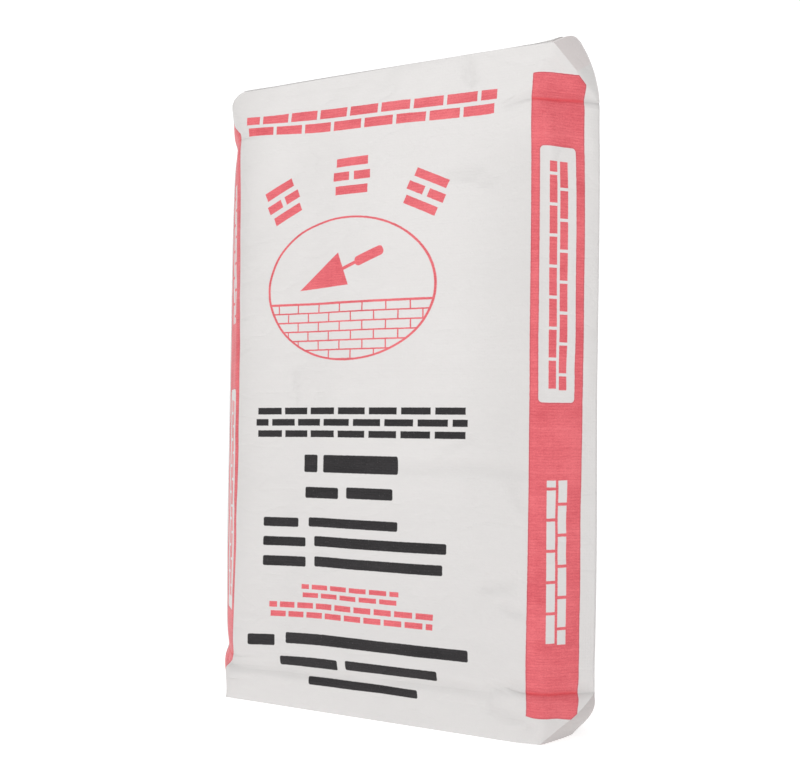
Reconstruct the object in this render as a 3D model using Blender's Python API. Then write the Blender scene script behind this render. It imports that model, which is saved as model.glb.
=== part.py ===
"""A filled block-bottom valve sack of woven polypropylene, standing on its lower end.

A flat woven tube is folded shut at both ends into a long rectangle, and a cover strip is
welded over each fold. Filling rounds the broad faces and pushes the two pressed edges of the
tube outwards, so each narrow side is a low ridge that ends in a triangular ear at the top and
at the bottom. The valve lies under the right-hand end of the top cover.

Metres, X to the right along the broad face, Y to the back, Z up. The origin is the middle of
the footprint on the floor.
"""
import math

import bmesh
import bpy
from mathutils import Vector

# The woven tube: its flat width, and the length between the two folded ends.
TUBE_WIDTH = 0.500
TUBE_LENGTH = 0.690
# The folded ends: their depth from front to back, and how far the fill domes the upper one.
END_DEPTH = 0.115
TOP_DOME = 0.022
# The pressed edges: how far they stand out past the ends, at an ear and at half height.
EAR_SWELL = 0.031
EDGE_SWELL = 0.0375
# The broad faces: half the thickness at an ear and at half height, and the slope of the side.
EAR_THICKNESS = 0.060
HALF_THICKNESS = 0.070
SIDE_SLOPE = math.radians(43.0)
FADE_LENGTH = 0.160
# The welded strips: thickness, distance from the sheet beneath, and what the ends leave bare.
STRIP_THICKNESS = 0.0005
LAYER_GAP = 0.0003
STRIP_WIDTH = 0.090
STRIP_INSET = 0.004
# The valve sheet under the top cover.
VALVE_LENGTH = 0.110
VALVE_WIDTH = 0.074
VALVE_THICKNESS = 0.0003

HALF_DEPTH = END_DEPTH / 2
HALF_END = (TUBE_WIDTH - END_DEPTH) / 2
EAR_DROP = math.sqrt(HALF_DEPTH ** 2 - EAR_SWELL ** 2)
EAR_SLOPE = math.atan2(EAR_DROP, EAR_SWELL)
BODY_BOTTOM = STRIP_THICKNESS + LAYER_GAP
BODY_TOP = BODY_BOTTOM + TUBE_LENGTH
# Cells of the mesh: across an ear, along an end, and up the tube between the ears.
EAR_CELLS = 5
END_CELLS = 16
TUBE_CELLS = 16


def clear_scene():
    for old in list(bpy.data.objects):
        bpy.data.objects.remove(old, do_unlink=True)


def material(name, colour, roughness):
    made = bpy.data.materials.new(name)
    made.use_nodes = True
    shader = made.node_tree.nodes["Principled BSDF"]
    shader.inputs["Base Color"].default_value = (*colour, 1.0)
    shader.inputs["Roughness"].default_value = roughness
    shader.inputs["Metallic"].default_value = 0.0
    return made


def add_object(name, shape, look):
    data = bpy.data.meshes.new(name)
    bmesh.ops.recalc_face_normals(shape, faces=shape.faces)
    shape.to_mesh(data)
    shape.free()
    data.materials.append(look)
    made = bpy.data.objects.new(name, data)
    bpy.context.scene.collection.objects.link(made)
    return made


def blend(low, high, share):
    return low + (high - low) * share


def dome_height(y):
    """How far the filled upper end stands above its two long edges."""
    return TOP_DOME * (1 - (y / HALF_DEPTH) ** 2)


def side_corner(fullness):
    """Where the flank meets the broad face, and the pressed edge, in a level cut."""
    slope = blend(EAR_SLOPE, SIDE_SLOPE, fullness)
    edge = Vector((HALF_END + blend(EAR_SWELL, EDGE_SWELL, fullness), 0.0))
    corner = edge - HALF_DEPTH * Vector((math.cos(slope), math.sin(slope)))
    return edge, corner


def broad_curve(fullness, share):
    """A point of the broad face in a level cut: share 0 at the corner, 1 on the centre line."""
    corner = side_corner(fullness)[1]
    slope = blend(0.0, SIDE_SLOPE, fullness)
    depth = blend(EAR_THICKNESS, HALF_THICKNESS, fullness)
    leave = corner - 0.045 * Vector((math.cos(slope), math.sin(slope)))
    controls = (corner, leave, Vector((0.11, -depth)), Vector((0.0, -depth)))
    rest = 1 - share
    weights = (rest ** 3, 3 * rest ** 2 * share, 3 * rest * share ** 2, share ** 3)
    return sum((w * c for w, c in zip(weights, controls)), Vector((0.0, 0.0)))


def front_cut(fullness):
    """The front half of a level cut, from the right pressed edge to the left one."""
    edge, corner = side_corner(fullness)
    right = [edge.lerp(corner, cell / EAR_CELLS) for cell in range(EAR_CELLS)]
    half = END_CELLS // 2
    right += [broad_curve(fullness, cell / half) for cell in range(half)]
    middle = broad_curve(fullness, 1.0)
    left = [Vector((-point.x, point.y)) for point in reversed(right)]
    return right + [middle] + left


def end_edge():
    """The front half of an end's rectangle, met by the same lines as a level cut."""
    right = [Vector((HALF_END, -HALF_DEPTH * cell / EAR_CELLS)) for cell in range(EAR_CELLS)]
    front = [Vector((HALF_END * (1 - 2 * cell / END_CELLS), -HALF_DEPTH))
             for cell in range(END_CELLS + 1)]
    left = [Vector((-point.x, point.y)) for point in reversed(right)]
    return right + front + left


def ear_row(row, domed):
    """One row of the zone beside an end. Row 0 is the end's edge, the last one the ears' tips."""
    outer, inner = end_edge(), front_cut(0.0)
    middle = inner[EAR_CELLS:-EAR_CELLS]
    end = Vector((HALF_END, 0.0))
    tip, corner, fold = inner[0], inner[EAR_CELLS], outer[EAR_CELLS]
    share = row / EAR_CELLS
    side = []
    for cell in range(EAR_CELLS):
        across = cell / EAR_CELLS
        rise = 0.0
        if across + share <= 1:
            place = end + share * (tip - end) + across * (fold - end)
            if domed and across + share < 1:
                rise = dome_height(place.y) * (1 - share / (1 - across))
        else:
            place = corner + (1 - share) * (fold - corner) + (1 - across) * (tip - corner)
        side.append((place, rise))
    broad = [(a.lerp(b, share), 0.0) for a, b in zip(outer[EAR_CELLS:-EAR_CELLS], middle)]
    other = [(Vector((-place.x, place.y)), rise) for place, rise in reversed(side)]
    return side + broad + other


def front_rows():
    """Every row of the front half, from the lower end to the upper one."""
    rows = []
    for row in range(EAR_CELLS):
        height = BODY_BOTTOM + EAR_DROP * row / EAR_CELLS
        rows.append([(p.x, p.y, height) for p, rise in ear_row(row, False)])
    span = TUBE_LENGTH - 2 * EAR_DROP
    for row in range(TUBE_CELLS + 1):
        away = span * row / TUBE_CELLS
        near = min(away, span - away)
        fullness = math.sin(math.pi / 2 * min(1.0, near / FADE_LENGTH))
        height = BODY_BOTTOM + EAR_DROP + away
        rows.append([(p.x, p.y, height) for p in front_cut(fullness)])
    for row in range(EAR_CELLS - 1, -1, -1):
        height = BODY_TOP - EAR_DROP * row / EAR_CELLS
        rows.append([(p.x, p.y, height + rise) for p, rise in ear_row(row, True)])
    return rows


def close_end(shape, ring_front, ring_back, domed):
    """Fill the rectangle of an end between its front edge and its back edge."""
    corner_row = ring_front[EAR_CELLS:-EAR_CELLS]
    rows = [corner_row]
    for cell in range(1, 2 * EAR_CELLS):
        source = ring_front if cell <= EAR_CELLS else ring_back
        index = EAR_CELLS - cell if cell <= EAR_CELLS else cell - EAR_CELLS
        right, left = source[index], source[len(source) - 1 - index]
        row = [right]
        for vertex in corner_row[1:-1]:
            y = right.co.y
            lift = dome_height(y) if domed else 0.0
            row.append(shape.verts.new((vertex.co.x, y, vertex.co.z + lift)))
        rows.append(row + [left])
    rows.append(ring_back[EAR_CELLS:-EAR_CELLS])
    for near, far in zip(rows, rows[1:]):
        for cell in range(len(near) - 1):
            shape.faces.new((near[cell], near[cell + 1], far[cell + 1], far[cell]))


def sack_body(look):
    """The closed woven tube with its two folded ends, as one filled solid."""
    shape = bmesh.new()
    fronts, backs = [], []
    for row in front_rows():
        front = [shape.verts.new(place) for place in row]
        back = [front[0]]
        back += [shape.verts.new((x, -y, z)) for x, y, z in row[1:-1]]
        back += [front[-1]]
        fronts.append(front)
        backs.append(back)
    last = len(fronts) - 1
    for side in (fronts, backs):
        for row in range(last):
            for cell in range(len(side[0]) - 1):
                near, far = side[row], side[row + 1]
                square = (near[cell], near[cell + 1], far[cell + 1], far[cell])
                mirrored = min(cell, len(near) - 2 - cell)
                rising = (row < EAR_CELLS) == (cell < len(near) // 2)
                if mirrored < EAR_CELLS and min(row, last - 1 - row) < EAR_CELLS and not rising:
                    shape.faces.new((square[0], square[1], square[2]))
                    shape.faces.new((square[0], square[2], square[3]))
                else:
                    shape.faces.new((square[0], square[1], square[3]))
                    shape.faces.new((square[1], square[2], square[3]))
    close_end(shape, fronts[0], backs[0], False)
    close_end(shape, fronts[-1], backs[-1], True)
    return add_object("sack_body", shape, look)


def sheet_over_dome(name, look, left, right, width, lift, thickness):
    """A thin strip that follows the domed upper end, lifted a little off it."""
    shape = bmesh.new()
    steps = 12
    rows = []
    for rise in (lift, lift + thickness):
        for x in (left, right):
            row = []
            for step in range(steps + 1):
                y = width * (step / steps - 0.5)
                row.append(shape.verts.new((x, y, BODY_TOP + dome_height(y) + rise)))
            rows.append(row)
    low_left, low_right, high_left, high_right = rows
    for step in range(steps):
        for one, two in ((low_left, low_right), (high_right, high_left),
                         (low_right, high_right), (high_left, low_left)):
            shape.faces.new((one[step], two[step], two[step + 1], one[step + 1]))
    for step in (0, steps):
        shape.faces.new([row[step] for row in (low_left, low_right, high_right, high_left)])
    return add_object(name, shape, look)


def flat_sheet(name, look, left, right, width, bottom, thickness):
    """A thin rectangular strip, lying level."""
    shape = bmesh.new()
    corners = bmesh.ops.create_cube(shape, size=1.0)["verts"]
    for corner in corners:
        corner.co.x = left if corner.co.x < 0 else right
        corner.co.y = width * corner.co.y
        corner.co.z = bottom + thickness * (corner.co.z + 0.5)
    return add_object(name, shape, look)


def build():
    clear_scene()
    woven = material("laminated_woven_white", (0.78, 0.77, 0.75), 0.42)
    cover = material("cover_strip_white", (0.80, 0.79, 0.78), 0.48)
    film = material("valve_film", (0.72, 0.71, 0.67), 0.35)
    sack_body(woven)
    reach = HALF_END - STRIP_INSET
    flat_sheet("bottom_cover", cover, -reach, reach, STRIP_WIDTH, 0.0, STRIP_THICKNESS)
    sheet_over_dome("valve_sheet", film, reach - VALVE_LENGTH, reach, VALVE_WIDTH,
                    LAYER_GAP, VALVE_THICKNESS)
    sheet_over_dome("top_cover", cover, -reach, reach, STRIP_WIDTH,
                    2 * LAYER_GAP + VALVE_THICKNESS, STRIP_THICKNESS)


build()
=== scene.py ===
import math
from functools import cache

import bmesh
import bpy
from mathutils import Matrix, Vector, noise as ripple
from mathutils.bvhtree import BVHTree


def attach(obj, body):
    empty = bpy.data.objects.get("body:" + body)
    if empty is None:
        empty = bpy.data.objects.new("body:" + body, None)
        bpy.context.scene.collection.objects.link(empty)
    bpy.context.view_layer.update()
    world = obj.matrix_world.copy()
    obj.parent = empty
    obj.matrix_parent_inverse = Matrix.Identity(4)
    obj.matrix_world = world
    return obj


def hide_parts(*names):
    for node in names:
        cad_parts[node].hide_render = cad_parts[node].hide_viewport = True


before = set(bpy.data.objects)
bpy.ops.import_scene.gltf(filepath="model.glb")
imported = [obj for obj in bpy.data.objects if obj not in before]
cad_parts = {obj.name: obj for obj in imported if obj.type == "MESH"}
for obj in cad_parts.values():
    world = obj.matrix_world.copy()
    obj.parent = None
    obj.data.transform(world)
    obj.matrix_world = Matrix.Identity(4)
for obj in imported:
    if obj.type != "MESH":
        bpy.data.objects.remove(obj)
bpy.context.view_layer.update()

# ------------------------------------------------------------------------------------------
# The sack: one tube of woven polypropylene tapes with a thin white coating, printed, its two
# ends folded into rectangles. It is cut as the plain block that the folds make, which has the
# tube's own lengths everywhere, then filled: ears swelled, pressed edges out, faces broad.
# ------------------------------------------------------------------------------------------
# The tube: its flat width, its length between the folds, and the depth of a folded end.
TUBE_WIDTH = 0.500
TUBE_LENGTH = 0.690
END_DEPTH = 0.115
# The lower end lies on its cover strip, and its rim, beside the strip, nearly on the floor.
STRIP_WIDTH = 0.090
SHEET_UNDER_FOOT = 0.0008
RIM_HEIGHT = 0.0002
# Places of the plain block that are nearer than this are one place.
HAIR = 1e-5

half_width = TUBE_WIDTH / 2
half_depth = END_DEPTH / 2
half_end = (TUBE_WIDTH - END_DEPTH) / 2


def eased(value, start, run):
    """0 up to a start, 1 from the end of its run on, and eased between."""
    share = min(1.0, max(0.0, (value - start) / run))
    return share * share * (3 - 2 * share)


def blend(low, high, share):
    return low + (high - low) * share


# How the wall turns back in a level cut, in degrees, at an ear and at half height. The front
# takes its turn close to the middle, and the wall goes over to the flank's under the band. A
# zone, here and below, is where a change starts and the length over which it grows.
FRONT_TURN = 2.0, 6.0
FLANK_TURN = 47.0, 43.0
FRONT_RUN = 0.06
FLANK_ZONE = 0.150, 0.045
CUT_STEP = 0.001


def wall_turn(across, fullness):
    """How far the wall turns back from the front plane, by fabric length from its middle."""
    front = math.radians(blend(*FRONT_TURN, fullness)) * min(1.0, across / FRONT_RUN)
    flank = math.radians(blend(*FLANK_TURN, fullness))
    return blend(front, flank, eased(across, *FLANK_ZONE))


@cache
def level_cut(fullness):
    """A level cut of one quarter of the wall, in short steps from the edge to the middle."""
    place = Vector((0.0, 0.0))
    points = [place.copy()]
    for index in range(round(half_width / CUT_STEP)):
        turn = wall_turn(half_width - (index + 0.5) * CUT_STEP, fullness)
        place -= CUT_STEP * Vector((math.cos(turn), math.sin(turn)))
        points.append(place.copy())
    shift = Vector((-place.x, 0.0))
    return [point + shift for point in points]


def on_cut(fullness, across):
    """The cut's point at one fabric length from the middle."""
    cut = level_cut(fullness)
    along = (half_width - across) / CUT_STEP
    index = min(len(cut) - 2, max(0, int(along)))
    return cut[index].lerp(cut[index + 1], along - index)


# The fill lifts the upper end, most at the valve's end, and swells the short edges of both ends:
# how far, and how squarely.
TOP_DOME = 0.0155
VALVE_END_DOME = 0.0210
VALVE_END_ZONE = 0.16, 0.033
DOME_POWER = 1.25
UPPER_END_SWELL = 0.008, 2.4
LOWER_END_SWELL = 0.0125, 1.2
SWELL_START = 0.12
# What lies on the strip at the lower end, with a little to spare.
STRIP_HALF_WIDTH = STRIP_WIDTH / 2 + 0.002
STRIP_HALF_LENGTH = half_end - 0.003


def dome(x, y):
    """How far the fill lifts the upper end over its two long edges."""
    crown = blend(TOP_DOME, VALVE_END_DOME, eased(x, *VALVE_END_ZONE))
    return crown * max(0.0, 1 - (y / half_depth) ** 2) ** DOME_POWER


def end_bulge(x, y, top):
    """How far the fill pushes an end's short edge out past the plain rectangle."""
    swell, power = UPPER_END_SWELL if top else LOWER_END_SWELL
    near_edge = eased(abs(x), SWELL_START, half_end - SWELL_START)
    return swell * (1 - abs(y / half_depth) ** power) * near_edge


def on_end(block, side, top):
    """A point of an end's rectangle: the upper one domed, the lower one flat on its strip."""
    bulge = side * end_bulge(block.x, block.y, top)
    on_strip = abs(block.y) < STRIP_HALF_WIDTH and abs(block.x) < STRIP_HALF_LENGTH
    at_foot = 0.0 if on_strip else RIM_HEIGHT - SHEET_UNDER_FOOT
    lift = dome(block.x, block.y) if top else at_foot
    return Vector((block.x + bulge, block.y, block.z + lift))


# An ear: the middle of an end's short edge, the corner of the end's fold, and the ear's tip,
# which the folded flap brings down by the ear's drop. The flap is rounded a little by the fill.
end = Vector((half_end, 0.0))
fold = Vector((half_end, -half_depth))
tip = level_cut(0.0)[0]
ear_drop = math.sqrt(half_depth ** 2 - (tip.x - half_end) ** 2)
UPPER_EAR_ROUND = 0.0055
LOWER_EAR_ROUND = 0.0072
RAY_ZONE = 0.03, 0.09
RIDGE_ZONE = 0.20, 0.05
LEAST_SHARE = 0.01


def on_flap(share, inward, side, top):
    """A point of an ear's flap, between the end's short edge and the two diagonal folds."""
    place = end + share * (tip - end) + inward * (fold - end)
    near_end = 1 - share / max(1 - inward, HAIR)
    rounding = UPPER_EAR_ROUND if top else LOWER_EAR_ROUND
    place.x += end_bulge(half_end, place.y, top) * near_end
    place.x += 4 * rounding * share * (1 - inward - share)
    domed = top and inward + share < 1 - HAIR
    rise = dome(side * half_end, place.y) * near_end if domed else 0.0
    return place, rise


def beside_end(share, across, side, top):
    """A point of the folds round an end, some share of the way down to the ears' tips.

    It comes with its rise over the end's edge, the ray from the fold's corner that it lies on,
    given by where that ray meets the tips' level, and how near it is to a ridge of the fabric.
    """
    spread = half_end - (half_end - across) / max(share, LEAST_SHARE)
    by_ray = eased(spread, *RAY_ZONE)
    ray = blend(across, spread, by_ray)
    ridge = eased(ray, *RIDGE_ZONE)
    if across <= half_end + HAIR:
        straight = Vector((across, -half_depth)).lerp(on_cut(0.0, across), share)
        on_ray = fold.lerp(on_cut(0.0, max(0.0, spread)), share)
        return straight.lerp(on_ray, by_ray), 0.0, ray, ridge
    inward = (half_end + half_depth - across) / half_depth
    if inward + share > 1 + HAIR:
        return fold.lerp(on_cut(0.0, spread), share), 0.0, ray, ridge
    place, rise = on_flap(share, inward, side, top)
    return place, rise, ray, min(1.0, inward + share) ** 2


# The pressed folds across the tube, half an end's depth from each end, and the fill, which has
# settled: its push grows downwards from below the top, and fades out at both ends.
FOLD_SINK_LEFT = 0.0014
FOLD_SINK_RIGHT = 0.0004
FOLD_REACH = 0.014
FOLD_ZONE = 0.10, 0.08
SETTLED_SPREAD = 0.0052
LEAST_SETTLED_LEFT = 0.45
SETTLED_ZONE = 0.12, 0.06
SETTLED_TOP = 0.60
SETTLED_RUN = 0.50
FADE_AT_FOOT = 0.05
FADE_AT_TOP = 0.10


def body_fold(away, across, right):
    """How far the pressed fold across the tube sinks in."""
    depth = FOLD_SINK_RIGHT if right else FOLD_SINK_LEFT
    near = max(0.0, 1 - abs(away - half_depth) / FOLD_REACH)
    return depth * near * near * eased(across, *FOLD_ZONE)


def settled(up, across, right):
    """How far the fill, settled towards the foot, pushes the pressed edges out."""
    least = 0.0 if right else LEAST_SETTLED_LEFT
    share = least + (1 - least) * min(1.0, max(0.0, (SETTLED_TOP - up) / SETTLED_RUN))
    off_ends = min(eased(up, 0, FADE_AT_FOOT), eased(TUBE_LENGTH - up, 0, FADE_AT_TOP))
    return SETTLED_SPREAD * share * off_ends * eased(across, *SETTLED_ZONE)


# How this one sack stands: it leans to the left, its left ears spread and its upper left corner is
# pressed down, and its lower right corner is tucked in, lifted, and sags between its folds.
LEAN_LEFT = 0.0055
LEFT_STRETCH = 0.009
LEAN_RUN = 0.09
LEFT_EAR_SPREAD = 0.0055
LEFT_EAR_ZONE = 0.13, 0.06
UPPER_EAR_RUN = 0.012
LOWER_EAR_RUN = 0.030
EAR_FADE = 0.035, 0.03
CORNER_PRESS = 0.008
CORNER_SIZE = 0.012
FOOT_TUCK = 0.0085
TUCK_ZONE = 0.12, 0.06
TUCK_POWER = 1.4
TUCK_HEIGHT = 0.03
FOOT_LIFT = 0.0016
LIFT_ZONE = 0.165, 0.0275
FOOT_SAG = 0.0026
TIP_DROP = 0.0025
TIP_ZONE = 0.17, 0.06
TIP_FADE = half_depth, 0.07
# The height over which the faces fill out, and the zones in which the fabric comes down to the
# ears, as their folds draw it.
FILL_OUT = 0.16
FALL_RIGHT = 0.125, 0.050
FALL_LEFT = 0.04, 0.15


def across_tube(x, y):
    """Fabric length across the tube, from a layer's middle to a point of the plain block."""
    if abs(x) > half_end - HAIR:
        return half_end + half_depth - abs(y)
    return abs(x)


def filled(block):
    """Where a point of the plain block goes when the sack is filled."""
    right = block.x > 0
    side = 1 if right else -1
    back = -1 if block.y > 0 else 1
    up = block.z - SHEET_UNDER_FOOT
    top = up > TUBE_LENGTH / 2
    away = min(up, TUBE_LENGTH - up)
    inside = abs(block.x) < half_end - HAIR and abs(block.y) < half_depth - HAIR
    if away < HAIR and inside:
        return on_end(block, side, top)

    across = across_tube(block.x, block.y)
    if away < half_depth:
        share = away / half_depth
        low = ear_drop * share
        place, rise, ray, ridge = beside_end(share, across, side, top)
    else:
        share = (away - half_depth) / (TUBE_LENGTH - END_DEPTH)
        low = ear_drop + share * (TUBE_LENGTH - 2 * ear_drop)
        fullness = math.sin(math.pi / 2 * min(1.0, (low - ear_drop) / FILL_OUT))
        place, rise, ray, ridge = on_cut(round(fullness, 3), across), 0.0, across, 0.0
    height = blend(away, low, eased(ray, *(FALL_RIGHT if right else FALL_LEFT)))
    z = TUBE_LENGTH - height if top else height

    if not right:
        place.x *= 1 + LEFT_STRETCH * eased(away, 0, LEAN_RUN)
        near_ear = eased(away, 0, UPPER_EAR_RUN if top else LOWER_EAR_RUN)
        near_ear *= 1 - eased(away, *EAR_FADE)
        place.x += LEFT_EAR_SPREAD * near_ear * eased(across, *LEFT_EAR_ZONE)
        if top:
            in_corner = 1 - eased(away, 0, CORNER_SIZE)
            z -= CORNER_PRESS * in_corner * eased(across - half_end, -CORNER_SIZE, CORNER_SIZE)
    place.x += settled(up, across, right) - body_fold(away, across, right)
    if right and not top:
        in_corner = (1 - eased(away, 0, TUCK_HEIGHT)) * abs(block.y / half_depth) ** TUCK_POWER
        place.x -= FOOT_TUCK * in_corner * eased(across, *TUCK_ZONE)
        z += FOOT_LIFT * in_corner * eased(across, *LIFT_ZONE)
        along = min(1.0, away / half_depth)
        z -= FOOT_SAG * 4 * along * (1 - along) * ridge
        by_tip = eased(along, 0, 1) * (1 - eased(away, *TIP_FADE))
        z -= TIP_DROP * by_tip * eased(across, *TIP_ZONE)
    z += rise + (RIM_HEIGHT if up < HAIR else SHEET_UNDER_FOOT)
    shift = -LEAN_LEFT * eased(away, 0, LEAN_RUN)
    return Vector((side * place.x + shift, back * place.y, z))


CELLS_DEEP = 20
cell = END_DEPTH / CELLS_DEEP
block_size = 2 * half_end, END_DEPTH, TUBE_LENGTH
skin = bmesh.new()
bmesh.ops.create_cube(skin, size=1.0)
bmesh.ops.scale(skin, vec=block_size, verts=skin.verts)
bmesh.ops.translate(skin, vec=(0, 0, SHEET_UNDER_FOOT + TUBE_LENGTH / 2), verts=skin.verts)
for axis, length in enumerate(block_size):
    runs = [edge for edge in skin.edges
            if abs((edge.verts[0].co - edge.verts[1].co)[axis]) > HAIR]
    cuts = round(length / cell) - 1
    bmesh.ops.subdivide_edges(skin, edges=runs, cuts=cuts, use_grid_fill=True)


def from_end(point):
    """How far a point of the plain block is from its nearer end."""
    up = point.z - SHEET_UNDER_FOOT
    return min(up, TUBE_LENGTH - up)


def on_flank(vertex):
    return abs(abs(vertex.co.x) - half_end) < HAIR


def on_diagonal(vertex):
    """Whether a point lies on one of the folds from an end's corner to an ear's tip."""
    return on_flank(vertex) and abs(abs(vertex.co.y) + from_end(vertex.co) - half_depth) < HAIR


for face in list(skin.faces):
    ends = [vertex for vertex in face.verts if on_diagonal(vertex)]
    if len(face.verts) == 4 and len(ends) == 2 and not skin.edges.get(ends):
        bmesh.utils.face_split(face, ends[0], ends[1])

# The tube's own coordinates in metres: across from the middle and up from the lower end. The
# back layer is one unit further along, and the two ends lie above at two and three units.
BACK_LAYER = 1.0
UPPER_END_LAYER = 2.0
LOWER_END_LAYER = 3.0
fabric = skin.loops.layers.uv.new("fabric")
for face in skin.faces:
    middle = face.calc_center_median()
    level = from_end(middle) < HAIR
    behind = middle.y > 0
    for loop in face.loops:
        x, y, z = loop.vert.co
        if level:
            layer = UPPER_END_LAYER if z > TUBE_LENGTH / 2 else LOWER_END_LAYER
            loop[fabric].uv = (x, y + layer)
        else:
            across = math.copysign(across_tube(x, y), x)
            loop[fabric].uv = (BACK_LAYER - across if behind else across, z - SHEET_UNDER_FOOT)

# How sharp the folds stay. The rims of the ends and the ears' folds are pressed, and shade as
# sharp edges, but for the swollen part of the upper right ear and the rim by the pressed corner.
RIM_FOLD = 0.75
PRESSED_RIM = 0.25
EAR_FOLD = 1.0
SWOLLEN_FOLD = 0.2
SIDE_FOLD = 0.7
PRESSED_REACH = 0.010
SWOLLEN_FROM = 0.029
crease = skin.edges.layers.float.new("crease_edge")
for edge in skin.edges:
    one, two = edge.verts
    upper = one.co.z > TUBE_LENGTH / 2
    furthest = max(from_end(one.co), from_end(two.co))
    nearest = min(from_end(one.co), from_end(two.co))
    if furthest < HAIR:
        if len({round(face.normal.z) for face in edge.link_faces}) > 1:
            pressed = upper and one.co.x < PRESSED_REACH - half_end
            edge[crease] = PRESSED_RIM if pressed else RIM_FOLD
            edge.smooth = pressed
    elif on_flank(one) and on_flank(two):
        if on_diagonal(one) and on_diagonal(two) and abs(one.co.y - two.co.y) > HAIR:
            swollen = upper and one.co.x > 0 and furthest > SWOLLEN_FROM
            edge[crease] = SWOLLEN_FOLD if swollen else EAR_FOLD
            edge.smooth = swollen
        elif max(abs(one.co.y), abs(two.co.y)) < HAIR and nearest > half_depth - HAIR:
            edge[crease] = SIDE_FOLD

block_places = [vertex.co.copy() for vertex in skin.verts]
start_places = [filled(place) for place in block_places]


def new_piece(name, shape):
    """An object in the scene with the shape as its mesh."""
    mesh = bpy.data.meshes.new(name)
    shape.to_mesh(mesh)
    made = bpy.data.objects.new(name, mesh)
    bpy.context.scene.collection.objects.link(made)
    return made


# The fill: a short cloth run with pressure lets the fabric find its own folds. It starts in the
# filled shape and keeps the plain block's lengths, with a little to spare. No point may move
# further than a centimetre, and about a third of the move is kept.
MOST_MOVE = 0.010
KEPT_MOVE = 0.35
SPARE_LENGTH = 0.013
SPARE_GIRTH = 0.018
LAST_FRAME = 10
WOVEN_CLOTH = {
    "use_dynamic_mesh": True, "quality": 6, "mass": 0.1, "air_damping": 2, "pin_stiffness": 5,
    "tension_stiffness": 30, "compression_stiffness": 30, "shear_stiffness": 15,
    "bending_stiffness": 5.0, "tension_damping": 10, "compression_damping": 10,
    "shear_damping": 10, "use_pressure": True, "uniform_pressure_force": 1.0}
for vertex, place in zip(skin.verts, block_places):
    up = (place.z - SHEET_UNDER_FOOT) * (1 + SPARE_LENGTH)
    at_top = place.z > TUBE_LENGTH + SHEET_UNDER_FOOT - HAIR
    rise = dome(place.x, place.y) if at_top else 0.0
    girth = 1 + SPARE_GIRTH
    vertex.co = (place.x * girth, place.y * girth, SHEET_UNDER_FOOT + up + rise)
filling = new_piece("filling", skin)
filling.shape_key_add(name="cut")
filled_key = filling.shape_key_add(name="filled")
for point, place in zip(filled_key.data, start_places):
    point.co = place
for number, value in ((1, 1.0), (2, 0.0)):
    filled_key.value = value
    filled_key.keyframe_insert("value", frame=number)
foot = filling.vertex_groups.new(name="foot")
on_floor = [index for index, place in enumerate(block_places)
            if place.z < SHEET_UNDER_FOOT + HAIR]
foot.add(on_floor, 1.0, "REPLACE")
cloth = filling.modifiers.new("fill", "CLOTH")
for name, value in WOVEN_CLOTH.items():
    setattr(cloth.settings, name, value)
cloth.settings.vertex_group_mass = "foot"
cloth.settings.effector_weights.gravity = 0
cloth.collision_settings.use_collision = False
cloth.point_cache.frame_end = LAST_FRAME + 1
for number in range(1, LAST_FRAME + 1):
    bpy.context.scene.frame_set(number)
blown = filling.evaluated_get(bpy.context.evaluated_depsgraph_get())
for vertex, place, moved in zip(skin.verts, start_places, blown.data.vertices):
    move = moved.co - place
    if move.length > MOST_MOVE:
        move *= MOST_MOVE / move.length
    if place.z <= SHEET_UNDER_FOOT + HAIR:
        move.z = 0.0
    vertex.co = place + move * KEPT_MOVE
motion = filling.data.shape_keys.animation_data.action
bpy.data.meshes.remove(filling.data)
bpy.data.actions.remove(motion)
bpy.context.scene.frame_set(1)

# Handling left creases, here as lines on the front: points on the tube, depth and half width.
# Each is steep under its line and runs out slowly above it.
CREASES = (
    (((0.150, 0.6285), (0.171, 0.6303), (0.2303, 0.6325), (0.25, 0.6325)), 0.00280, 0.008),
    (((0.171, 0.635), (0.150, 0.629)), 0.00168, 0.007),
    (((-0.20, 0.045), (-0.1606, 0.0428), (-0.1125, 0.0405), (-0.0263, 0.0399), (0.0631, 0.0476),
      (0.0982, 0.0459), (0.1314, 0.0429), (0.1398, 0.0496), (0.1662, 0.0600), (0.173, 0.0568),
      (0.2315, 0.0575), (0.25, 0.0575)), 0.00308, 0.009),
    (((0.1314, 0.0429), (0.1379, 0.0272), (0.162, 0.0232)), 0.00252, 0.009),
    (((0.1676, 0.0261), (0.178, 0.0116)), 0.00168, 0.007),
    (((0.0400, 0.2660), (0.0558, 0.2668), (0.1069, 0.2690), (0.1393, 0.2675), (0.1654, 0.2665)),
     0.00252, 0.013),
    (((0.0815, 0.2802), (0.1149, 0.3008)), 0.00112, 0.010),
    (((0.1525, 0.2641), (0.1652, 0.2354)), 0.00196, 0.009),
    (((0.1327, 0.1482), (0.1551, 0.1581)), 0.00224, 0.009),
    (((0.1516, 0.1343), (0.1658, 0.1305)), 0.00224, 0.009),
    (((0.0898, 0.5656), (0.1195, 0.5691)), 0.00252, 0.008),
    (((0.1000, 0.5660), (0.1361, 0.5546)), 0.00168, 0.009),
    (((0.096, 0.688), (0.1051, 0.6587)), 0.00196, 0.010),
    (((-0.1005, 0.3698), (-0.0971, 0.3359)), 0.00140, 0.007))
REACH_ABOVE = 0.65
REACH_BELOW = 1.5
FULL_DENT = 0.0028
# Slight waves all over, calmer on the flanks: height, how many to a metre across and up, seed.
WAVES = ((0.0014, 13, 19, 0.0), (0.0008, 34, 47, 20.0))
FRONT_SEED = 3.0
BACK_SEED = 8.0
FLANK_CALM = 0.65
CALM_ZONE = 0.13, 0.04
# The shape of the folds is kept this far to their sides.
KEPT_AT_FOLD = 0.012


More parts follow.
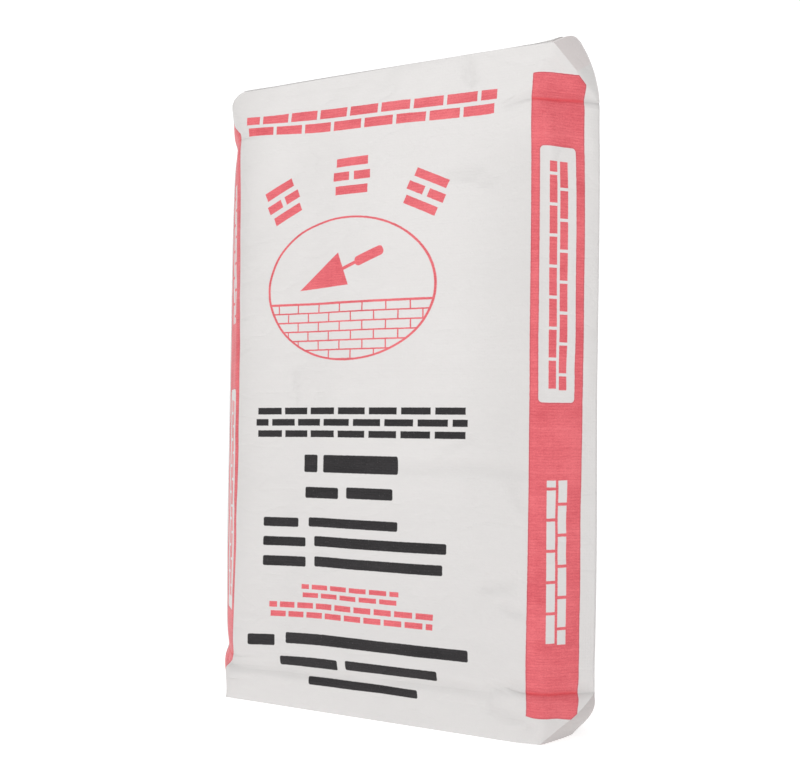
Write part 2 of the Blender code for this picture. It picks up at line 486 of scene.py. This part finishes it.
def from_line(point, one, two):
    """Distance from one stretch of a crease, felt nearer above it and further below."""
    along = (point - one).dot(two - one) / (two - one).length_squared
    away = point - one.lerp(two, min(1.0, max(0.0, along)))
    return away.length * (REACH_ABOVE if away.y > 0 else REACH_BELOW)


def crease_depth(point):
    """How far the creases push the front in at a point of the tube."""
    sink = 0.0
    for points, depth, width in CREASES:
        places = [Vector(place) for place in points]
        near = min(from_line(point, one, two) for one, two in zip(places, places[1:]))
        if near < width:
            sink = max(sink, depth * (1 - near / width) ** 2 * (1 + near / width))
    return sink


def wave_depth(point, front):
    """How far the waves push the fabric in at a point of the tube."""
    seed = FRONT_SEED if front else BACK_SEED
    waves = sum(height * ripple.noise(Vector((point.x * wide, point.y * high, seed + more)))
                for height, wide, high, more in WAVES)
    return waves * (1 - FLANK_CALM * eased(abs(point.x), *CALM_ZONE))


dent = skin.verts.layers.float.new("dent")
skin.normal_update()
pushed = []
for vertex, place in zip(skin.verts, block_places):
    across = across_tube(place.x, place.y)
    point = Vector((math.copysign(across, place.x), place.z - SHEET_UNDER_FOOT))
    sink = crease_depth(point) if place.y < 0 else 0.0
    vertex[dent] = min(1.0, sink / FULL_DENT)
    sink += wave_depth(point, place.y < 0)
    off_folds = eased(from_end(place), 0, KEPT_AT_FOLD)
    off_folds *= eased(half_width - across, 0, KEPT_AT_FOLD)
    pushed.append(vertex.co - vertex.normal * sink * off_folds)
for vertex, place in zip(skin.verts, pushed):
    vertex.co = place

sack = new_piece("woven_sack", skin)
for face in sack.data.polygons:
    face.use_smooth = True
rounding = sack.modifiers.new("rounding", "SUBSURF")
rounding.levels = 1
rounding.render_levels = 1


class Thread:
    """One socket of a node tree; sums on it add their Math nodes."""

    def __init__(self, tree, socket=None):
        self.tree = tree
        self.socket = socket

    def node(self, kind, settings=None, values=None, output=0):
        made = self.tree.nodes.new(kind)
        for name, value in (settings or {}).items():
            setattr(made, name, value)
        for name, value in (values or {}).items():
            if isinstance(value, Thread):
                value.into(made, name)
            else:
                made.inputs[name].default_value = value
        return Thread(self.tree, made.outputs[output])

    def into(self, node, name):
        """Lead this socket into an input of a node."""
        self.tree.links.new(self.socket, node.inputs[name])

    def math(self, operation, *others, clamp=False):
        values = dict(enumerate((self, *others)))
        return self.node("ShaderNodeMath", {"operation": operation, "use_clamp": clamp}, values)

    def turned(self, operation, other):
        return self.node("ShaderNodeMath", {"operation": operation}, {0: other, 1: self})

    def __add__(self, other):
        return self.math("ADD", other)

    def __radd__(self, other):
        return self.math("ADD", other)

    def __sub__(self, other):
        return self.math("SUBTRACT", other)

    def __rsub__(self, other):
        return self.turned("SUBTRACT", other)

    def __mul__(self, other):
        return self.math("MULTIPLY", other)

    def __rmul__(self, other):
        return self.math("MULTIPLY", other)

    def __truediv__(self, other):
        return self.math("DIVIDE", other)

    def __neg__(self):
        return self.math("MULTIPLY", -1.0)

    def __abs__(self):
        return self.math("ABSOLUTE")

    def whole(self):
        return self.math("FLOOR")

    def part(self):
        return self.math("FRACT")

    def least(self, other):
        return self.math("MINIMUM", other)

    def most(self, other):
        return self.math("MAXIMUM", other)

    def inside(self, soft=0.0006):
        """1 where a distance is below nothing, 0 above, over a soft edge."""
        return self.math("MULTIPLY_ADD", -1.0 / soft, 0.5, clamp=True)

    def step(self, low, high):
        """0 below low, 1 above high, eased between."""
        values = {0: self, 1: low, 2: high, 3: 0.0, 4: 1.0}
        return self.node("ShaderNodeMapRange", {"interpolation_type": "SMOOTHSTEP"}, values)


def new_finish(name):
    """A material, its shader, and a thread to begin its nodes with."""
    made = bpy.data.materials.new(name)
    made.use_nodes = True
    return made, made.node_tree.nodes["Principled BSDF"], Thread(made.node_tree)


def on_fabric(start):
    """The two coordinates that run along a sheet's own tapes."""
    spot = start.node("ShaderNodeUVMap", {"uv_map": "fabric"})
    return [spot.node("ShaderNodeSeparateXYZ", {}, {0: spot}, output) for output in (0, 1)]


def blend_colours(factor, one, two):
    values = {0: factor, 6: one, 7: two}
    return factor.node("ShaderNodeMix", {"data_type": "RGBA"}, values, output=2)


def noise(u, v, scale_u, scale_v, seed, detail=2.0, roughness=0.5):
    """Noise on the tube, from -0.5 to 0.5, with its own size across and up."""
    spot = u.node("ShaderNodeCombineXYZ", {}, {0: u * scale_u, 1: v * scale_v, 2: seed})
    values = {"Vector": spot, "Scale": 1.0, "Detail": detail, "Roughness": roughness}
    return spot.node("ShaderNodeTexNoise", {}, values) - 0.5


def box_distance(u, v, left, right, low, high, corner=0.0):
    """Distance from a rectangle with rounded corners on the tube, negative inside."""
    across = abs(u - (left + right) / 2) - ((right - left) / 2 - corner)
    up = abs(v - (low + high) / 2) - ((high - low) / 2 - corner)
    if corner == 0.0:
        return across.most(up)
    outside_u = across.most(0.0)
    outside_v = up.most(0.0)
    outside = (outside_u * outside_u + outside_v * outside_v).math("SQRT")
    return outside + across.most(up).least(0.0) - corner


def bricks(u, v, left, right, low, high, courses, brick, joint, joints_only=False):
    """A strip of bricks in running bond: 1 on the bricks, or on the joints between them."""
    course = (high - low) / courses
    row = (v - low) / course
    shift = row.whole().math("MODULO", 2.0) * 0.5
    along = ((u - left) / brick + shift + 8.0).part()
    gap_u = 0.5 * brick - abs(along - 0.5) * brick
    gap_v = 0.5 * course - abs(row.part() - 0.5) * course
    gap = (joint / 2 - gap_u.least(gap_v)).inside(0.0005)
    area = box_distance(u, v, left, right, low, high).inside()
    return area * (1.0 - gap) if joints_only else area * gap


# From the middle of one tape to the next, and a number that parts the tones of warp and weft.
TAPE_PITCH = 0.00285
WEFT_SEED = 700.0


def tape_weave(u, v):
    """Height of flat tapes in plain weave, 0 to 1, and a tone that differs from tape to tape."""
    warp = u / TAPE_PITCH
    weft = v / TAPE_PITCH
    over = (warp.whole() + weft.whole()).math("PINGPONG", 1.0)
    warp_round = 1.0 - (abs(warp.part() - 0.5) * 2.0).math("POWER", 3.0)
    weft_round = 1.0 - (abs(weft.part() - 0.5) * 2.0).math("POWER", 3.0)
    height = over * warp_round * 0.7 + (1.0 - over) * weft_round
    warp_tone, weft_tone = [
        tape.node("ShaderNodeTexWhiteNoise", {"noise_dimensions": "1D"}, {"W": number})
        for tape, number in ((warp, warp.whole()), (weft, weft.whole() + WEFT_SEED))]
    tone = weft_tone * 0.35 + warp_tone * 0.15 + weft_round * 0.5
    return height, tone


woven, coat, start = new_finish("printed_woven_polypropylene")
coat.inputs["Specular IOR Level"].default_value = 0.3
tube_u, v = on_fabric(start)
layer = (tube_u + 0.5).whole()
u = tube_u - layer
front = 1.0 - layer
# The ink's edges waver a little, so the print has coordinates of its own.
wobble = noise(tube_u, v, 260.0, 260.0, 3.0) * 0.0006
ink_u = u + wobble
ink_v = v + wobble
left_side = (-ink_u).step(-0.001, 0.001)
right_side = 1.0 - left_side

# Red side bands, on both layers and both sides, with one white field each. The left one is
# printed turned half round, so its field is lower, and it sits a little nearer the edge. The
# right one is a little wider at its lower end, and narrower again below the foot's fold.
BAND_LEFT, BAND_RIGHT = 0.1730, 0.2315
BAND_LOW, BAND_HIGH = 0.0295, 0.6590
OUTER_CHAMFER = 0.009
LEFT_INNER_CHAMFER = 0.021
LEFT_BAND_SHIFT = 0.008
LOWER_WIDENING = 0.0018
UNDER_FOLD_LOSS = 0.0026
FIELD_LEFT, FIELD_RIGHT = 0.1818, 0.2217
FIELD_LOW, FIELD_HIGH = 0.3370, 0.5853
FIELD_CORNER = 0.004
LOWER_FOLD = half_depth
side_u = abs(ink_u) - left_side * LEFT_BAND_SHIFT
past_ends = abs(ink_v - (BAND_LOW + BAND_HIGH) / 2) - (BAND_HIGH - BAND_LOW) / 2
outer_cut = past_ends + side_u - (BAND_RIGHT - OUTER_CHAMFER)
widened = (0.26 - ink_v).step(0.0, 0.20) * right_side * LOWER_WIDENING
inner_cut = past_ends - side_u + (BAND_LEFT + LEFT_INNER_CHAMFER * left_side) - widened
lost = (LOWER_FOLD - ink_v).step(0.0, 0.020) * right_side * UNDER_FOLD_LOSS
band = (BAND_LEFT - side_u - widened).most(side_u - BAND_RIGHT + lost).most(past_ends)
band = band.most(outer_cut * 0.7).most(inner_cut * 0.7)
field_v = blend(ink_v, TUBE_LENGTH - ink_v, left_side)
field = box_distance(side_u, field_v, FIELD_LEFT, FIELD_RIGHT, FIELD_LOW, FIELD_HIGH, FIELD_CORNER)
red = band.inside() * (1.0 - field.inside())

# Courses of bricks along the bands: red on the white field, white on the red.
red = red.most(bricks(field_v, side_u, 0.349, 0.571, 0.191, 0.214, 2, 0.030, 0.0030))
red = red * (1.0 - bricks(field_v, side_u, 0.104, 0.262, 0.190, 0.216, 2, 0.030, 0.0030))

# Red print of the front: a top strip, three small panels on an arc, and two lower lines. Each
# panel has its middle and its turn, in degrees.
STRIP_SLANT = 0.020
PANELS = ((-0.115, 0.556, 24), (-0.025, 0.578, 0), (0.063, 0.553, -24))
PANEL_HALF = 0.0225
strip_v = ink_v + ink_u * STRIP_SLANT
front_red = bricks(ink_u, strip_v, -0.167, 0.137, 0.6258, 0.6545, 2, 0.0380, 0.0042)


def turned_about(centre_u, centre_v, degrees):
    """The print's coordinates, turned about one of its points."""
    cosine, sine = math.cos(math.radians(degrees)), math.sin(math.radians(degrees))
    own_u = (ink_u - centre_u) * cosine + (ink_v - centre_v) * sine
    own_v = (ink_v - centre_v) * cosine - (ink_u - centre_u) * sine
    return own_u, own_v


for centre_u, centre_v, degrees in PANELS:
    own_u, own_v = turned_about(centre_u, centre_v, degrees)
    panel = bricks(own_u, own_v, -PANEL_HALF, PANEL_HALF, -PANEL_HALF, PANEL_HALF,
                   3, 2 * PANEL_HALF, 0.0058)
    front_red = front_red.most(panel)
for left, right, low, high in ((-0.085, 0.037, 0.123, 0.141), (-0.128, 0.076, 0.101, 0.121)):
    line = bricks(ink_u, ink_v, left, right, low, high, 2, 0.0243, 0.0038)
    front_red = front_red.most(line)

# The oval: a ring round a low brick wall with a trowel over it.
OVAL_U, OVAL_V, OVAL_WIDE, OVAL_HIGH = -0.0295, 0.458, 0.1062, 0.0770
RING_MIDDLE = 0.985
RING_HALF = 0.014
WALL_TOP = OVAL_V - 0.015
WALL_HALF = 0.105
WALL_DEPTH = 0.060
COPING_HALF = 0.0013
TROWEL_TURN = 20
TROWEL_LIFT = 0.021
oval_u = (ink_u - OVAL_U) / OVAL_WIDE
oval_v = (ink_v - OVAL_V) / OVAL_HIGH
reach = (oval_u * oval_u + oval_v * oval_v).math("SQRT")
ring = (abs(reach - RING_MIDDLE) - RING_HALF).inside(0.008)
in_oval = (reach - RING_MIDDLE).inside(0.008)
wall = bricks(ink_u, ink_v, OVAL_U - WALL_HALF, OVAL_U + WALL_HALF,
              WALL_TOP - WALL_DEPTH, WALL_TOP, 6, 0.028, 0.0016, joints_only=True)
wall = wall.most((abs(ink_v - WALL_TOP) - COPING_HALF).inside())
wall = wall * (ink_v - WALL_TOP - COPING_HALF).inside()
tool_u, tool_v = turned_about(OVAL_U, OVAL_V, TROWEL_TURN)
tool_v = tool_v - TROWEL_LIFT
blade = (abs(tool_v) - (tool_u + 0.058) * 0.30).most(tool_u - 0.004)
shank = box_distance(tool_u, tool_v, 0.002, 0.022, -0.0018, 0.0018)
grip = box_distance(tool_u, tool_v, 0.020, 0.056, -0.0052, 0.0052, 0.0045)
trowel = blade.least(shank).least(grip).inside()
front_red = front_red.most(ring).most(in_oval * wall.most(trowel))
red = red.most(front_red * front)

# Black print of the front: a heading in three courses, and plain bars under it.
BARS = ((-0.083, -0.064, 0.261, 0.280), (-0.056, 0.0355, 0.261, 0.280),
        (-0.081, -0.036, 0.233, 0.245), (-0.026, 0.030, 0.234, 0.246),
        (-0.1395, -0.090, 0.201, 0.211), (-0.076, 0.036, 0.202, 0.212),
        (-0.139, -0.080, 0.180, 0.190), (-0.068, 0.090, 0.181, 0.192),
        (-0.1385, -0.080, 0.158, 0.169), (-0.068, 0.0858, 0.159, 0.170),
        (-0.155, -0.120, 0.071, 0.083), (-0.105, 0.1147, 0.074, 0.086),
        (-0.1135, -0.038, 0.049, 0.060), (-0.028, 0.079, 0.051, 0.061),
        (-0.077, 0.0553, 0.030, 0.039))
BAR_CORNER = 0.002
black = bricks(ink_u, ink_v, -0.152, 0.111, 0.2965, 0.3335, 3, 0.0376, 0.0050)
for left, right, low, high in BARS:
    bar = box_distance(ink_u, ink_v, left, right, low, high, BAR_CORNER).inside()
    black = black.most(bar)
black = black * front

# The white coating, a shade apart from tape to tape and from patch to patch, and the tones that
# it takes on in its parts.
COATING = (0.700, 0.682, 0.672, 1), (0.742, 0.724, 0.714, 1)
BARE_SHADED_AT_FOOT = (0.530, 0.500, 0.492, 1)
BARE_AT_TOP = (0.725, 0.672, 0.662, 1)
PAINTED_FOOT_SHADE = (0.600, 0.590, 0.586, 1)
PAINTED_SHADE = (0.590, 0.575, 0.565, 1)
PAINTED_FOLD_SHADE = (0.560, 0.540, 0.530, 1)
height, tone = tape_weave(tube_u, v)
patches = noise(tube_u, v, 9.0, 14.0, 11.0, 3.0)
white = blend_colours(tone * 0.3 + (patches + 0.5) * 0.7, *COATING)

# Beyond the folded corners and in the pockets at both ends of a closure the tube shows its bare
# inner face, pinkish, and darkened as painted shade, most at the lower ears, which face down. The
# swollen ear has drawn its own back out of sight.
away = TUBE_LENGTH / 2 - abs(v - TUBE_LENGTH / 2)
inner_face_and_shade = (half_end - abs(u) + away).inside(0.0008)
drawn_out = (away + (u - 0.22) * 0.25).step(0.0265, 0.0285)
drawn_out = drawn_out * (v - 0.5).step(0.0, 0.01) * u.step(0.0, 0.01)
on_ends = v.step(1.0, 1.5)
end_y = abs((v + 0.5).part() - 0.5)
pocket = (half_end - abs(u) - half_depth + end_y).inside(0.0008)
inner_face_and_shade = inner_face_and_shade * (1.0 - drawn_out) * (1.0 - on_ends) + pocket * on_ends

# The front is darker towards the foot, as painted shade for the light that falls off downwards.
# The parts beside the bands are darker than the middle of the front, as painted shade for the
# front's turn, and the creases and the pressed folds are darkened with painted shade.
UPPER_FOLD = 0.6300
UPPER_FOLD_SLOPE = 0.040
# Painted shade: the front darker towards the foot.
foot_shade = (1.0 - v.step(0.0, 0.45)) * front
white = blend_colours(foot_shade * 0.35, white, PAINTED_FOOT_SHADE)
# Painted shade beside the bands, for the front's turn away from the light.
side_shade = (u - 0.085).step(0.0, 0.085) * (1.0 - u.step(0.180, 0.195)) * (0.63 - v).step(0.0, 0.07)
side_shade = side_shade.most((-u - 0.11).step(0.0, 0.075)) * v.step(0.08, 0.34) * front * (1.0 - on_ends)
white = blend_colours(side_shade * 0.34, white, PAINTED_SHADE)
# Painted shade in the creases, by their depth; the same share deepens their bump below.
in_crease = start.node("ShaderNodeAttribute", {"attribute_name": "dent"}, {}, output=2)
white = blend_colours(in_crease * 0.34, white, PAINTED_SHADE)
# The bare inner face, with painted shade that makes it darker at the lower ears.
bare_and_shaded = blend_colours(v.step(0.3, 0.4), BARE_SHADED_AT_FOOT, BARE_AT_TOP)
white = blend_colours(inner_face_and_shade, white, bare_and_shaded)
# Painted shade along the pressed folds, in the white coating.
upper_fold = abs(v - UPPER_FOLD - (abs(u) - 0.17) * UPPER_FOLD_SLOPE)
fold_line = (upper_fold.least(abs(v - LOWER_FOLD)) - 0.0012).inside(0.0028)
fold_line = fold_line * abs(u).step(0.13, 0.175)
white = blend_colours(fold_line * 0.35, white, PAINTED_FOLD_SHADE)

# The ink: thin where the tapes are high or the roller skipped, darkened along the folds as painted
# shade, with a painted sheen in broad patches, and squeezed dark to the rim of the large red
# areas.
RED_INK = (0.625, 0.084, 0.106, 1), (0.815, 0.168, 0.190, 1)
RED_SHADED_IN_FOLD = (0.740, 0.052, 0.064, 1)
RED_AT_RIM = (0.360, 0.050, 0.075, 1)
BLACK_INK = (0.010, 0.009, 0.010, 1), (0.026, 0.023, 0.025, 1)
ink_wear = noise(tube_u, v, 700.0, 500.0, 23.0, 2.0).step(0.12, 0.3) * 0.10
streaks = noise(tube_u, v, 110.0, 900.0, 31.0, 2.0)
# Painted sheen: broad lighter and darker patches in the ink's colour, mixed with its real grain
# below.
sheen = noise(tube_u, v, 20.0, 34.0, 41.0, 2.0)
speckle = noise(tube_u, v, 620.0, 800.0, 37.0, 2.0)
grain_and_sheen = tone * 0.55 + streaks * 1.3 + speckle * 1.3 + sheen * 1.3 + 0.24
red_ink = blend_colours(grain_and_sheen, *RED_INK)
# Painted shade along the folds, in the red ink.
red_ink = blend_colours(fold_line * 0.75, red_ink, RED_SHADED_IN_FOLD)
band_rim = (abs(band + 0.0006) - 0.0003).inside(0.0008)
field_rim = (abs(field - 0.0006) - 0.0002).inside(0.0008)
red_ink = blend_colours(band_rim.most(field_rim) * 0.70, red_ink, RED_AT_RIM)
black_ink = blend_colours(grain_and_sheen, *BLACK_INK)
colour = blend_colours(red * (1.0 - ink_wear), white, red_ink)
colour = blend_colours(black * (1.0 - ink_wear), colour, black_ink)
colour.into(coat, "Base Color")
rough = 0.42 + (patches + tone * 0.3) * 0.12 + red.most(black) * 0.05
rough.into(coat, "Roughness")

# Relief in metres: soft crumples, short sharp ridges, the tapes, and the bottoms of the folds
# and of the creases.
SOFT_CRUMPLE = 0.0010
FINE_CRUMPLE = 0.0005
RIDGE = 0.00028
TAPE_HEIGHT = 0.00008
FOLD_BOTTOM = 0.0007
CREASE_BOTTOM = 0.0012
crumple = noise(tube_u, v, 16.0, 34.0, 5.0, 2.0) * SOFT_CRUMPLE
crumple = crumple + noise(tube_u, v, 70.0, 90.0, 7.0, 2.0) * FINE_CRUMPLE
ridges = 1.0 - (abs(noise(tube_u, v, 11.0, 23.0, 51.0, 2.0, 0.6)) * 14.0).least(1.0)
crumple = crumple - ridges * ridges * RIDGE
relief = crumple + height * TAPE_HEIGHT - fold_line * FOLD_BOTTOM - in_crease * CREASE_BOTTOM
bump = start.node("ShaderNodeBump", {}, {"Strength": 1.0, "Distance": 1.0, "Height": relief})
bump.into(coat, "Normal")
sack.data.materials.append(woven)
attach(sack, "root")
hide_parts("sack_body")

# ------------------------------------------------------------------------------------------
# The valve sheet: a thin sheet of film laid into the right end of the upper closure, on the
# folded flaps and under the cover strip, where the filling spout went in.
# ------------------------------------------------------------------------------------------
VALVE_LENGTH = 0.110
VALVE_WIDTH = 0.074
VALVE_THICKNESS = 0.0003
LAID_GAP = 0.0001
SHEET_CELL = 0.005
STRIP_END = half_end - 0.004
upper_skin = BVHTree.FromBMesh(skin)
skin.free()


def cut_sheet(left, right, width, cells_along, cells_across):
    """A level sheet, with its own length and width as its fabric's coordinates."""
    sheet = bmesh.new()
    bmesh.ops.create_grid(sheet, x_segments=cells_along, y_segments=cells_across, size=0.5)
    bmesh.ops.scale(sheet, vec=(right - left, width, 1), verts=sheet.verts)
    bmesh.ops.translate(sheet, vec=((left + right) / 2, 0, 0), verts=sheet.verts)
    own_fabric = sheet.loops.layers.uv.new("fabric")
    for face in sheet.faces:
        for loop in face.loops:
            loop[own_fabric].uv = loop.vert.co.xy
    return sheet


def finished_sheet(name, sheet, thickness):
    """The sheet as a piece, with its wall on its upper side."""
    made = new_piece(name, sheet)
    sheet.free()
    wall = made.modifiers.new("thickness", "SOLIDIFY")
    wall.thickness = thickness
    wall.offset = 1.0
    return made


def laid_sheet(name, left, right, width, lift, thickness):
    """A thin sheet laid on the sack's upper end, as far above it as lift says at each point."""
    sheet = cut_sheet(left, right, width, round((right - left) / SHEET_CELL),
                      round(width / SHEET_CELL))
    for vertex in sheet.verts:
        x, y, _ = vertex.co
        found = upper_skin.ray_cast(Vector((x, y, 1.0)), Vector((0, 0, -1)))[0]
        vertex.co.z = found.z + lift(x, y)
    made = finished_sheet(name, sheet, thickness)
    for face in made.data.polygons:
        face.use_smooth = True
    return made


valve = laid_sheet("valve_film", STRIP_END - VALVE_LENGTH, STRIP_END, VALVE_WIDTH,
                   lambda x, y: LAID_GAP, VALVE_THICKNESS)
film, gloss, start = new_finish("matte_film")
gloss.inputs["Roughness"].default_value = 0.35
place = start.node("ShaderNodeTexCoord", output=3)
cloud = place.node("ShaderNodeTexNoise", {}, {"Vector": place, "Scale": 40.0, "Detail": 3.0})
shade = blend_colours(cloud, (0.62, 0.61, 0.57, 1), (0.72, 0.71, 0.67, 1))
shade.into(gloss, "Base Color")
creases = place.node("ShaderNodeTexNoise", {}, {"Vector": place, "Scale": 90.0, "Detail": 2.0})
bump = place.node("ShaderNodeBump", {}, {"Strength": 1.0, "Distance": 0.0006, "Height": creases})
bump.into(gloss, "Normal")
valve.data.materials.append(film)
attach(valve, "root")
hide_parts("valve_sheet")

# ------------------------------------------------------------------------------------------
# The cover strips: one plain woven strip welded over the folded flaps of each end. The upper
# one lies over the valve sheet and shows its outline; the lower one is what the sack stands on.
# ------------------------------------------------------------------------------------------
STRIP_THICKNESS = 0.0005
OVER_VALVE = 0.0004
VALVE_MARGIN = 0.004


def over_valve(x, y):
    """How far the strip lies over the end: a little more where the valve sheet is under it."""
    past_end = x - STRIP_END + VALVE_LENGTH + VALVE_MARGIN
    past_side = VALVE_WIDTH / 2 + VALVE_MARGIN - abs(y)
    covering = eased(past_end, 0, 2 * VALVE_MARGIN) * eased(past_side, 0, 2 * VALVE_MARGIN)
    return LAID_GAP + OVER_VALVE * covering


top_strip = laid_sheet("top_strip", -STRIP_END, STRIP_END, STRIP_WIDTH, over_valve,
                       STRIP_THICKNESS)
foot_sheet = cut_sheet(-STRIP_END, STRIP_END, STRIP_WIDTH, 60, 16)
bottom_strip = finished_sheet("bottom_strip", foot_sheet, STRIP_THICKNESS)

# The strips' weave is pressed flat along both edges, where the welding tool left a fine knurl.
WELD_WIDTH = 0.010
KNURL_PITCH = 0.0040
KNURL_HEIGHT = 0.00012
STRIP_TAPE_HEIGHT = 0.00010
strip_look, weld, start = new_finish("cover_strip_weave")
along, across = on_fabric(start)
height, tone = tape_weave(along + 3.0, across + 3.0)
patches = noise(along, across, 30.0, 30.0, 2.0)
cover = (0.700, 0.686, 0.676, 1), (0.745, 0.731, 0.722, 1)
shade = blend_colours(tone * 0.6 + patches + 0.2, *cover)
shade.into(weld, "Base Color")
(0.46 + patches * 0.2).into(weld, "Roughness")
edge_weld = (abs(across) - (STRIP_WIDTH / 2 - WELD_WIDTH)).step(0.0, 0.001)
knurl = (along * 2 * math.pi / KNURL_PITCH).math("SINE")
knurl = knurl * (across * 2 * math.pi / KNURL_PITCH).math("SINE")
relief = height * STRIP_TAPE_HEIGHT * (1.0 - edge_weld) + knurl * edge_weld * KNURL_HEIGHT
relief = relief + patches * 0.0010
bump = start.node("ShaderNodeBump", {}, {"Strength": 1.0, "Distance": 1.0, "Height": relief})
bump.into(weld, "Normal")
for strip, node in ((top_strip, "top_cover"), (bottom_strip, "bottom_cover")):
    strip.data.materials.append(strip_look)
    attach(strip, "root")
    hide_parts(node)

# ------------------------------------------------------------------------------------------
# Studio: a pale floor that runs on under the white surroundings, soft lights, and the camera
# at the height of the sack's lower half, to the right of its front.
# ------------------------------------------------------------------------------------------
floor_shape = bmesh.new()
bmesh.ops.create_grid(floor_shape, x_segments=1, y_segments=1, size=6.0)
floor = new_piece("studio_floor", floor_shape)
floor_shape.free()
pale, paint, _ = new_finish("studio_pale")
paint.inputs["Base Color"].default_value = (0.92, 0.92, 0.92, 1)
paint.inputs["Roughness"].default_value = 0.9
paint.inputs["Emission Color"].default_value = (1.0, 1.0, 1.0, 1)
paint.inputs["Emission Strength"].default_value = 0.44
floor.data.materials.append(pale)

# The room: brightest behind the camera and behind the sack, dimmer above and at the sides.
TO_CAMERA = 0.450, -0.841, 0.300
TO_BACKDROP = -0.471, 0.882, 0.0
UP = 0.0, 0.0, 1.0
world = bpy.data.worlds.new("studio_white")
bpy.context.scene.world = world
world.use_nodes = True
direction = Thread(world.node_tree).node("ShaderNodeTexCoord")
facing, behind, overhead = [
    direction.node("ShaderNodeVectorMath", {"operation": "DOT_PRODUCT"}, {0: direction, 1: way}, 1)
    for way in (TO_CAMERA, TO_BACKDROP, UP)]
room = 0.18 + facing.most(0.0) * 0.69 + behind.step(0.25, 0.82) * 0.92 + overhead.most(0.0) * 0.12
room_light = world.node_tree.nodes["Background"]
room_light.inputs["Color"].default_value = (1.0, 1.0, 1.0, 1)
room.into(room_light, "Strength")


def soft_light(name, place, size, power):
    """A square lamp that faces the middle of the sack."""
    data = bpy.data.lights.new(name, "AREA")
    data.shape = "SQUARE"
    data.size = size
    data.energy = power
    made = bpy.data.objects.new(name, data)
    bpy.context.scene.collection.objects.link(made)
    aim = Vector((0.0, 0.0, 0.35)) - Vector(place)
    turn = aim.to_track_quat("-Z", "Y").to_matrix().to_4x4()
    made.matrix_world = Matrix.Translation(place) @ turn


soft_light("key", (-0.9, -2.3, 2.0), 0.8, 17)
soft_light("side", (2.2, -1.0, 2.0), 0.9, 6)

EYE_PLACE = 0.5565, -1.0558, 0.308
EYE_TURN = 27.9
EYE_TILT = 90
EYE_ROLL = 0.75
eye = bpy.data.cameras.new("eye")
eye.lens = 48.33
eye.sensor_width = 36.0
eye.shift_y = 0.0528
camera = bpy.data.objects.new("eye", eye)
bpy.context.scene.collection.objects.link(camera)
camera.matrix_world = Matrix.Translation(EYE_PLACE)
for degrees, axis in ((EYE_TURN, "Z"), (EYE_TILT, "X"), (EYE_ROLL, "Z")):
    camera.matrix_world = camera.matrix_world @ Matrix.Rotation(math.radians(degrees), 4, axis)
bpy.context.scene.camera = camera
bpy.context.scene.view_settings.view_transform = "Standard"
